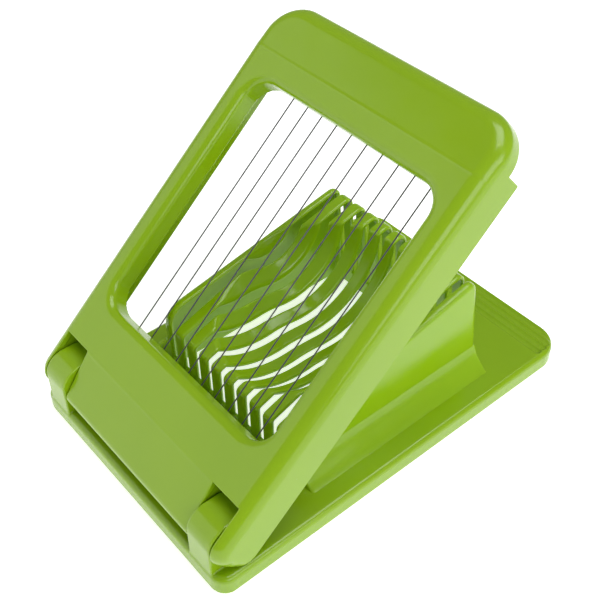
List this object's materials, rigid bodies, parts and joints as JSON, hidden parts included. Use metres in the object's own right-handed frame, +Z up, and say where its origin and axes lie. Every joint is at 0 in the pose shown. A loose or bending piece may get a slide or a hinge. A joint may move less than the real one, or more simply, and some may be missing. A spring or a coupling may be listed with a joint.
{
  "type": "egg slicer",
  "caption": "Hand-held kitchen slicer: a hinged lid strung with cutting wires swings down over a slotted cradle on a flat base and cuts a boiled egg into slices.",
  "frame": {"origin": "centre of the base's footprint, on the worktop", "axes": "+Z up, +Y towards the hinge end, -Y towards the finger grip, +X to the right seen from the grip end"},
  "size_m": [0.088, 0.1329, 0.0997],
  "materials": {
    "base_green": "glossy lime-green moulded plastic",
    "cradle_green": "glossy lime-green moulded plastic, thin walled and slightly translucent",
    "lid_green": "glossy lime-green moulded plastic",
    "wire_steel": "drawn stainless wire",
    "hardware_steel": "plain stainless steel"
  },
  "bodies": {
    "base": {"base_plate": "base_green", "egg_cradle": "cradle_green"},
    "lid": {"lid_frame": "lid_green", "hinge_pin_left": "hardware_steel", "hinge_pin_right": "hardware_steel", "clamp_bar_hinge": "lid_green", "clamp_bar_grip": "lid_green", "clamp_screws_hinge": "hardware_steel", "clamp_screws_grip": "hardware_steel", "ferrules_hinge": "hardware_steel", "ferrules_grip": "hardware_steel", "wire_01": "wire_steel", "wire_02": "wire_steel", "wire_03": "wire_steel", "wire_04": "wire_steel", "wire_05": "wire_steel", "wire_06": "wire_steel", "wire_07": "wire_steel", "wire_08": "wire_steel", "wire_09": "wire_steel", "wire_10": "wire_steel"}
  },
  "joints": [
    {"name": "lid_hinge", "type": "hinge", "parent": "base", "child": "lid", "pos_m": [0, 0.0582, 0.0122], "axis": [-1, 0, 0], "range_deg": [-41.7, 48.3]}
  ]
}
